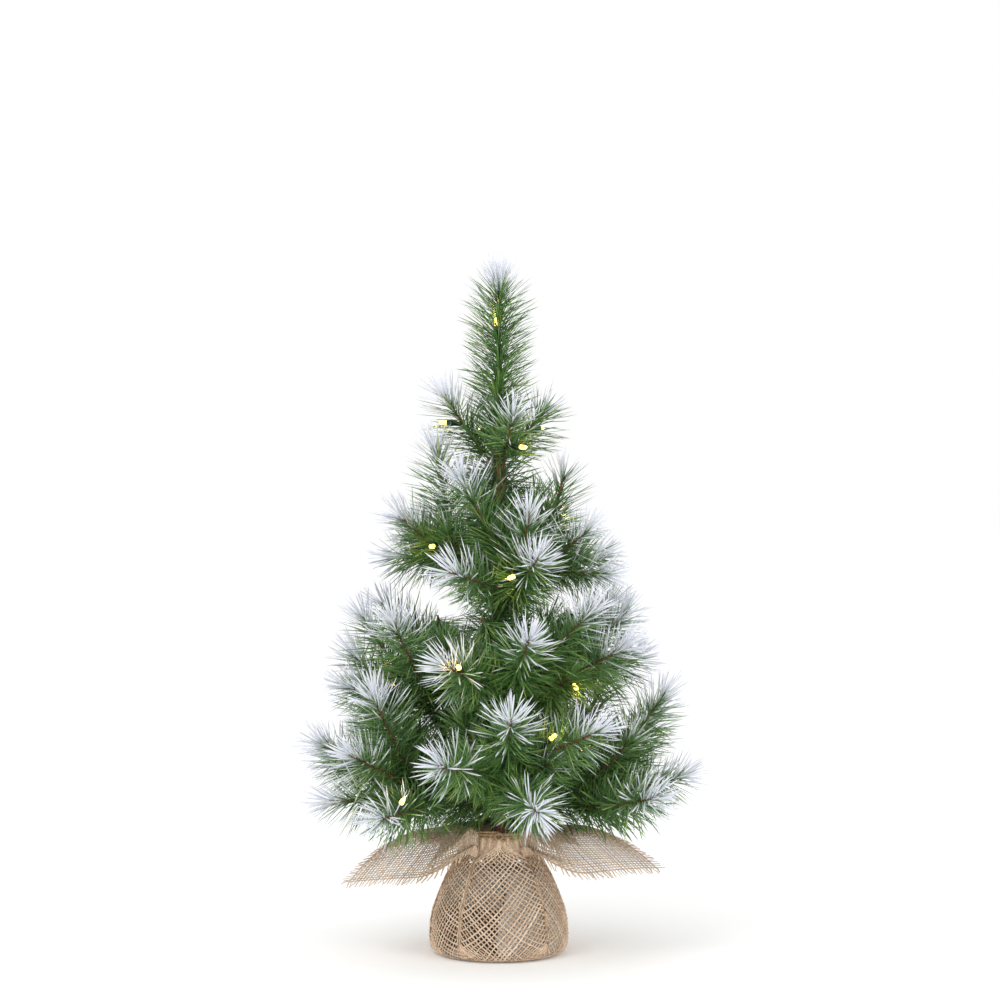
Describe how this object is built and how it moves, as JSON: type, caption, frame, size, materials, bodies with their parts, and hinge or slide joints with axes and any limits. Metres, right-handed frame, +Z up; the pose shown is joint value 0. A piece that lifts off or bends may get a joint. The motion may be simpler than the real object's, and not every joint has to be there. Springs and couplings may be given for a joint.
{
  "type": "artificial tabletop tree",
  "caption": "Small artificial fir tree with frosted needles and battery lamps, standing on a cement weight wrapped in burlap.",
  "frame": {"origin": "centre of the underside of the burlap base, on the trunk's axis", "axes": "+Z up along the trunk, -Y the front, +X to the viewer's right"},
  "size_m": [0.332, 0.3201, 0.6],
  "materials": {
    "cement": "rough cast cement",
    "burlap": "open plain weave of undyed jute",
    "twine": "twisted jute twine",
    "steel": "drawn rod",
    "bark": "brown PVC strip wound on the trunk",
    "needles": "cut PVC film, dark and mid green",
    "frosted_needles": "cut PVC film, its outer ends flocked white",
    "stem_wire": "twisted wire with brown film",
    "lamp": "dark green moulded lamp holder",
    "lens": "clear resin lens, warm white, lit",
    "lead": "dark green PVC insulation",
    "case": "fine moulded texture",
    "cell": "plain printed sleeve",
    "contact": "nickel plated",
    "board": "green solder mask",
    "switch": "moulded"
  },
  "bodies": {
    "tree": {"base_weight": "cement", "trunk_rod": "steel", "trunk_bark": "bark", "burlap_wrap": "burlap", "burlap_tie": "twine", "battery_case": "case", "battery_cells": "cell", "contact_springs": "contact", "contact_plates": "contact", "circuit_board": "board", "light_wire": "lead"},
    "battery_lid": {"battery_lid": "case"},
    "power_switch": {"power_switch": "switch"},
    "low_front": {"low_front_branch": "needles", "low_front_lamp": "lamp"},
    "low_left": {"low_left_branch": "needles", "low_left_lamp": "lamp"},
    "low_right": {"low_right_branch": "needles", "low_right_lamp": "lamp"},
    "low_back_right": {"low_back_right_branch": "needles", "low_back_right_lamp": "lamp"},
    "low_back": {"low_back_branch": "needles", "low_back_lamp": "lamp"},
    "low_back_left": {"low_back_left_branch": "needles", "low_back_left_lamp": "lamp"},
    "mid_front": {"mid_front_branch": "needles", "mid_front_lamp": "lamp"},
    "mid_left": {"mid_left_branch": "needles", "mid_left_lamp": "lamp"},
    "mid_right": {"mid_right_branch": "needles", "mid_right_lamp": "lamp"},
    "mid_back_right": {"mid_back_right_branch": "needles", "mid_back_right_lamp": "lamp"},
    "mid_back_left": {"mid_back_left_branch": "needles", "mid_back_left_lamp": "lamp"},
    "up_front": {"up_front_branch": "needles", "up_front_lamp": "lamp"},
    "up_left": {"up_left_branch": "needles", "up_left_lamp": "lamp"},
    "up_right": {"up_right_branch": "needles", "up_right_lamp": "lamp"},
    "up_back": {"up_back_branch": "needles", "up_back_lamp": "lamp"},
    "crown_left": {"crown_left_branch": "needles", "crown_left_lamp": "lamp"},
    "crown_front": {"crown_front_branch": "needles", "crown_front_lamp": "lamp"},
    "crown_right": {"crown_right_branch": "needles", "crown_right_lamp": "lamp"},
    "crown_back": {"crown_back_branch": "needles", "crown_back_lamp": "lamp"},
    "leader": {"leader_branch": "needles", "leader_lamp": "lamp"}
  },
  "joints": [
    {"name": "low_front_bend", "type": "hinge", "parent": "tree", "child": "low_front", "pos_m": [0.00056, -0.00798, 0.129], "axis": [-0.9976, -0.0698, 0], "range_deg": [-8, 12]},
    {"name": "low_left_bend", "type": "hinge", "parent": "tree", "child": "low_left", "pos_m": [-0.00655, -0.00459, 0.12], "axis": [-0.5736, 0.8192, 0], "range_deg": [-8, 10]},
    {"name": "low_right_bend", "type": "hinge", "parent": "tree", "child": "low_right", "pos_m": [0.008, -0.00028, 0.116], "axis": [-0.0349, -0.9994, 0], "range_deg": [-8, 18]},
    {"name": "low_back_right_bend", "type": "hinge", "parent": "tree", "child": "low_back_right", "pos_m": [0.00514, 0.00613, 0.123], "axis": [0.766, -0.6428, 0], "range_deg": [-8, 8]},
    {"name": "low_back_bend", "type": "hinge", "parent": "tree", "child": "low_back", "pos_m": [-0.00139, 0.00788, 0.116], "axis": [0.9848, 0.1736, 0], "range_deg": [-8, 10]},
    {"name": "low_back_left_bend", "type": "hinge", "parent": "tree", "child": "low_back_left", "pos_m": [-0.00776, 0.00194, 0.125], "axis": [0.2419, 0.9703, 0], "range_deg": [-8, 8]},
    {"name": "mid_front_bend", "type": "hinge", "parent": "tree", "child": "mid_front", "pos_m": [0.00166, -0.00783, 0.206], "axis": [-0.9781, -0.2079, 0], "range_deg": [-15, 15]},
    {"name": "mid_left_bend", "type": "hinge", "parent": "tree", "child": "mid_left", "pos_m": [-0.00773, -0.00207, 0.197], "axis": [-0.2588, 0.9659, 0], "range_deg": [-10, 16]},
    {"name": "mid_right_bend", "type": "hinge", "parent": "tree", "child": "mid_right", "pos_m": [0.00706, -0.00376, 0.215], "axis": [-0.4695, -0.8829, 0], "range_deg": [-15, 13]},
    {"name": "mid_back_right_bend", "type": "hinge", "parent": "tree", "child": "mid_back_right", "pos_m": [0.00514, 0.00613, 0.202], "axis": [0.766, -0.6428, 0], "range_deg": [-11, 20]},
    {"name": "mid_back_left_bend", "type": "hinge", "parent": "tree", "child": "mid_back_left", "pos_m": [-0.00514, 0.00613, 0.21], "axis": [0.766, 0.6428, 0], "range_deg": [-9, 17]},
    {"name": "up_front_bend", "type": "hinge", "parent": "tree", "child": "up_front", "pos_m": [0.00274, -0.00752, 0.3], "axis": [-0.9397, -0.342, 0], "range_deg": [-15, 12]},
    {"name": "up_left_bend", "type": "hinge", "parent": "tree", "child": "up_left", "pos_m": [-0.00788, -0.00139, 0.317], "axis": [-0.1736, 0.9848, 0], "range_deg": [-15, 8]},
    {"name": "up_right_bend", "type": "hinge", "parent": "tree", "child": "up_right", "pos_m": [0.00706, -0.00376, 0.308], "axis": [-0.4695, -0.8829, 0], "range_deg": [-15, 4]},
    {"name": "up_back_bend", "type": "hinge", "parent": "tree", "child": "up_back", "pos_m": [0.00111, 0.00792, 0.312], "axis": [0.9903, -0.1392, 0], "range_deg": [-15, 6]},
    {"name": "crown_left_bend", "type": "hinge", "parent": "tree", "child": "crown_left", "pos_m": [-0.008, -0.00028, 0.423], "axis": [-0.0349, 0.9994, 0], "range_deg": [-12, 10]},
    {"name": "crown_front_bend", "type": "hinge", "parent": "tree", "child": "crown_front", "pos_m": [0.0022, -0.00769, 0.419], "axis": [-0.9613, -0.2756, 0], "range_deg": [-12, 15]},
    {"name": "crown_right_bend", "type": "hinge", "parent": "tree", "child": "crown_right", "pos_m": [0.00788, 0.00139, 0.425], "axis": [0.1736, -0.9848, 0], "range_deg": [-12, 12]},
    {"name": "crown_back_bend", "type": "hinge", "parent": "tree", "child": "crown_back", "pos_m": [-0.0007, 0.00797, 0.415], "axis": [0.9962, 0.0872, 0], "range_deg": [-12, 15]},
    {"name": "leader_bend", "type": "hinge", "parent": "tree", "child": "leader", "pos_m": [0, 0, 0.436], "axis": [0, 1, 0], "range_deg": [-6, 6]},
    {"name": "lid_slide", "type": "slide", "parent": "tree", "child": "battery_lid", "axis": [-0.788, 0.6157, 0], "range_m": [0, 0.006]},
    {"name": "switch_slide", "type": "slide", "parent": "tree", "child": "power_switch", "axis": [0, 0, 1], "range_m": [0, 0.004]}
  ]
}
